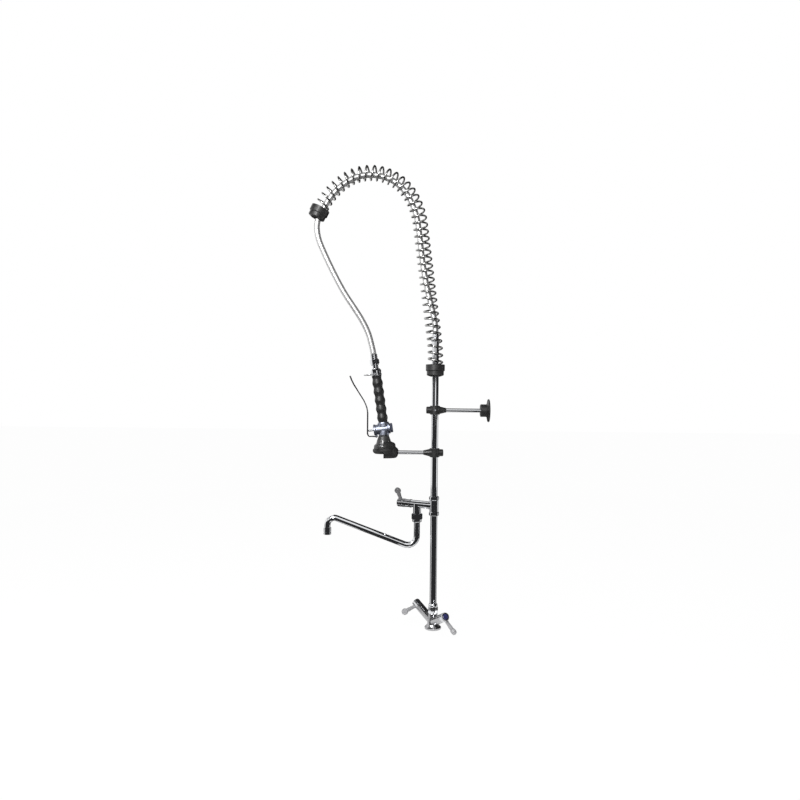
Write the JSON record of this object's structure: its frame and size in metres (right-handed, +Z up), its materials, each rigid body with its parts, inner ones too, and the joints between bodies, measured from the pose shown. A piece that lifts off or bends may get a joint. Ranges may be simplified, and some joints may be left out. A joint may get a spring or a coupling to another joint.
{
  "type": "pre rinse faucet",
  "caption": "Deck-mounted pre-rinse faucet: lever mixer, tall riser with add-on tap and swing spout, overhead spring hose, wall bracket and a trigger hand spray in a cradle.",
  "frame": {"origin": "the riser's axis at the deck, in the middle of the mixer's underside", "axes": "+Z up along the riser; -X towards the user, where the hand spray and spout are; +X towards the wall"},
  "size_m": [0.474, 0.1418, 1.2025],
  "materials": {
    "chrome": "polished",
    "lever_chrome": "satin",
    "black_plastic": "satin",
    "grip_rubber": "satin",
    "seal_rubber": "matte",
    "brass": "machined",
    "steel": "brushed",
    "spring_steel": "polished",
    "hose_braid": "woven under a clear sleeve",
    "hot_disc": "gloss",
    "cold_disc": "gloss",
    "dark_cap": "gloss",
    "grey_plastic": "satin"
  },
  "bodies": {
    "stand": {"base_seal": "seal_rubber", "mixer_body": "chrome", "hot_headwork": "brass", "cold_headwork": "brass", "riser_nut": "chrome", "riser_lower": "chrome", "tee_body": "chrome", "tap_headwork": "brass", "tap_bonnet": "grey_plastic", "spout_nut": "chrome", "riser_upper": "chrome", "hook_clamp": "black_plastic", "hook_screw": "steel", "hook_rod": "chrome", "hook_cradle": "black_plastic", "lower_cap": "black_plastic", "hose_spring": "spring_steel", "end_cap": "black_plastic", "hose_adapter": "chrome", "crimp_top": "chrome", "hose": "hose_braid"},
    "hot_handle": {"hot_lever": "lever_chrome", "hot_spindle": "brass", "hot_lever_screw": "steel", "hot_index": "hot_disc"},
    "cold_handle": {"cold_lever": "lever_chrome", "cold_spindle": "brass", "cold_lever_screw": "steel", "cold_index": "cold_disc"},
    "tap_handle": {"tap_lever": "lever_chrome", "tap_spindle": "brass", "tap_lever_screw": "steel", "tap_index": "grey_plastic"},
    "spout": {"spout_tube": "chrome", "spout_seals": "seal_rubber", "aerator_shell": "chrome", "aerator_core": "grey_plastic"},
    "wall_bracket": {"bracket_clamp": "black_plastic", "bracket_screw": "steel", "bracket_rod": "chrome", "wall_hub": "black_plastic", "wall_flange": "black_plastic"},
    "hand_spray": {"handle_core": "chrome", "grip": "grip_rubber", "valve_body": "chrome", "valve_cap": "dark_cap", "trigger_pin": "steel", "spray_bell": "black_plastic", "bumper_ring": "grip_rubber", "spray_face": "steel", "face_screw": "steel", "return_spring": "steel"},
    "hose_end": {"hose_nut": "chrome", "crimp_bottom": "chrome"},
    "trigger_lever": {"trigger": "lever_chrome"},
    "valve_plunger": {"plunger": "steel", "plunger_seal": "seal_rubber"},
    "hold_ring": {"hold_ring": "chrome"}
  },
  "joints": [
    {"name": "hot_lever_turn", "type": "hinge", "parent": "stand", "child": "hot_handle", "pos_m": [-0.03836, 0.05279, 0.04743], "axis": [-0.5327, 0.7332, 0.4226], "range_deg": [0, 90]},
    {"name": "cold_lever_turn", "type": "hinge", "parent": "stand", "child": "cold_handle", "pos_m": [0.02444, -0.0605, 0.04743], "axis": [0.3395, -0.8403, 0.4226], "range_deg": [0, 90]},
    {"name": "tap_lever_turn", "type": "hinge", "parent": "stand", "child": "tap_handle", "pos_m": [-0.084, 0.0485, 0.3195], "axis": [-0.866, 0.5, 0], "range_deg": [0, 90]},
    {"name": "spout_swing", "type": "hinge", "parent": "stand", "child": "spout", "pos_m": [-0.0433, 0.025, 0.2895], "axis": [0, 0, 1], "range_deg": [-120, 120]},
    {"name": "bracket_height", "type": "slide", "parent": "stand", "child": "wall_bracket", "axis": [0, 0, 1], "range_m": [-0.08, 0.06]},
    {"name": "spray_release", "type": "slide", "parent": "stand", "child": "hand_spray", "axis": [-1, 0, 0], "range_m": [0, 0.07], "deforming": ["hose"]},
    {"name": "hose_swivel", "type": "hinge", "parent": "hand_spray", "child": "hose_end", "pos_m": [-0.15713, 0, 0.68613], "axis": [-0.1478, 0, 0.989], "continuous": true},
    {"name": "trigger_squeeze", "type": "hinge", "parent": "hand_spray", "child": "trigger_lever", "pos_m": [-0.15128, 0, 0.49813], "axis": [0, 1, 0], "range_deg": [0, 11], "stiffness_Nm_per_rad": 0.8, "springref_deg": -6.88},
    {"name": "plunger_push", "type": "slide", "parent": "hand_spray", "child": "valve_plunger", "axis": [0.989, 0, 0.1478], "range_m": [0, 0.003], "deforming": ["return_spring"]},
    {"name": "hold_ring_turn", "type": "hinge", "parent": "hand_spray", "child": "hold_ring", "pos_m": [-0.15302, 0, 0.65864], "axis": [0, 1, 0], "range_deg": [-50, 30]}
  ],
  "couplings": [
    {"joint": "plunger_push", "follows": "trigger_squeeze", "m_per_rad": 0.0128}
  ]
}
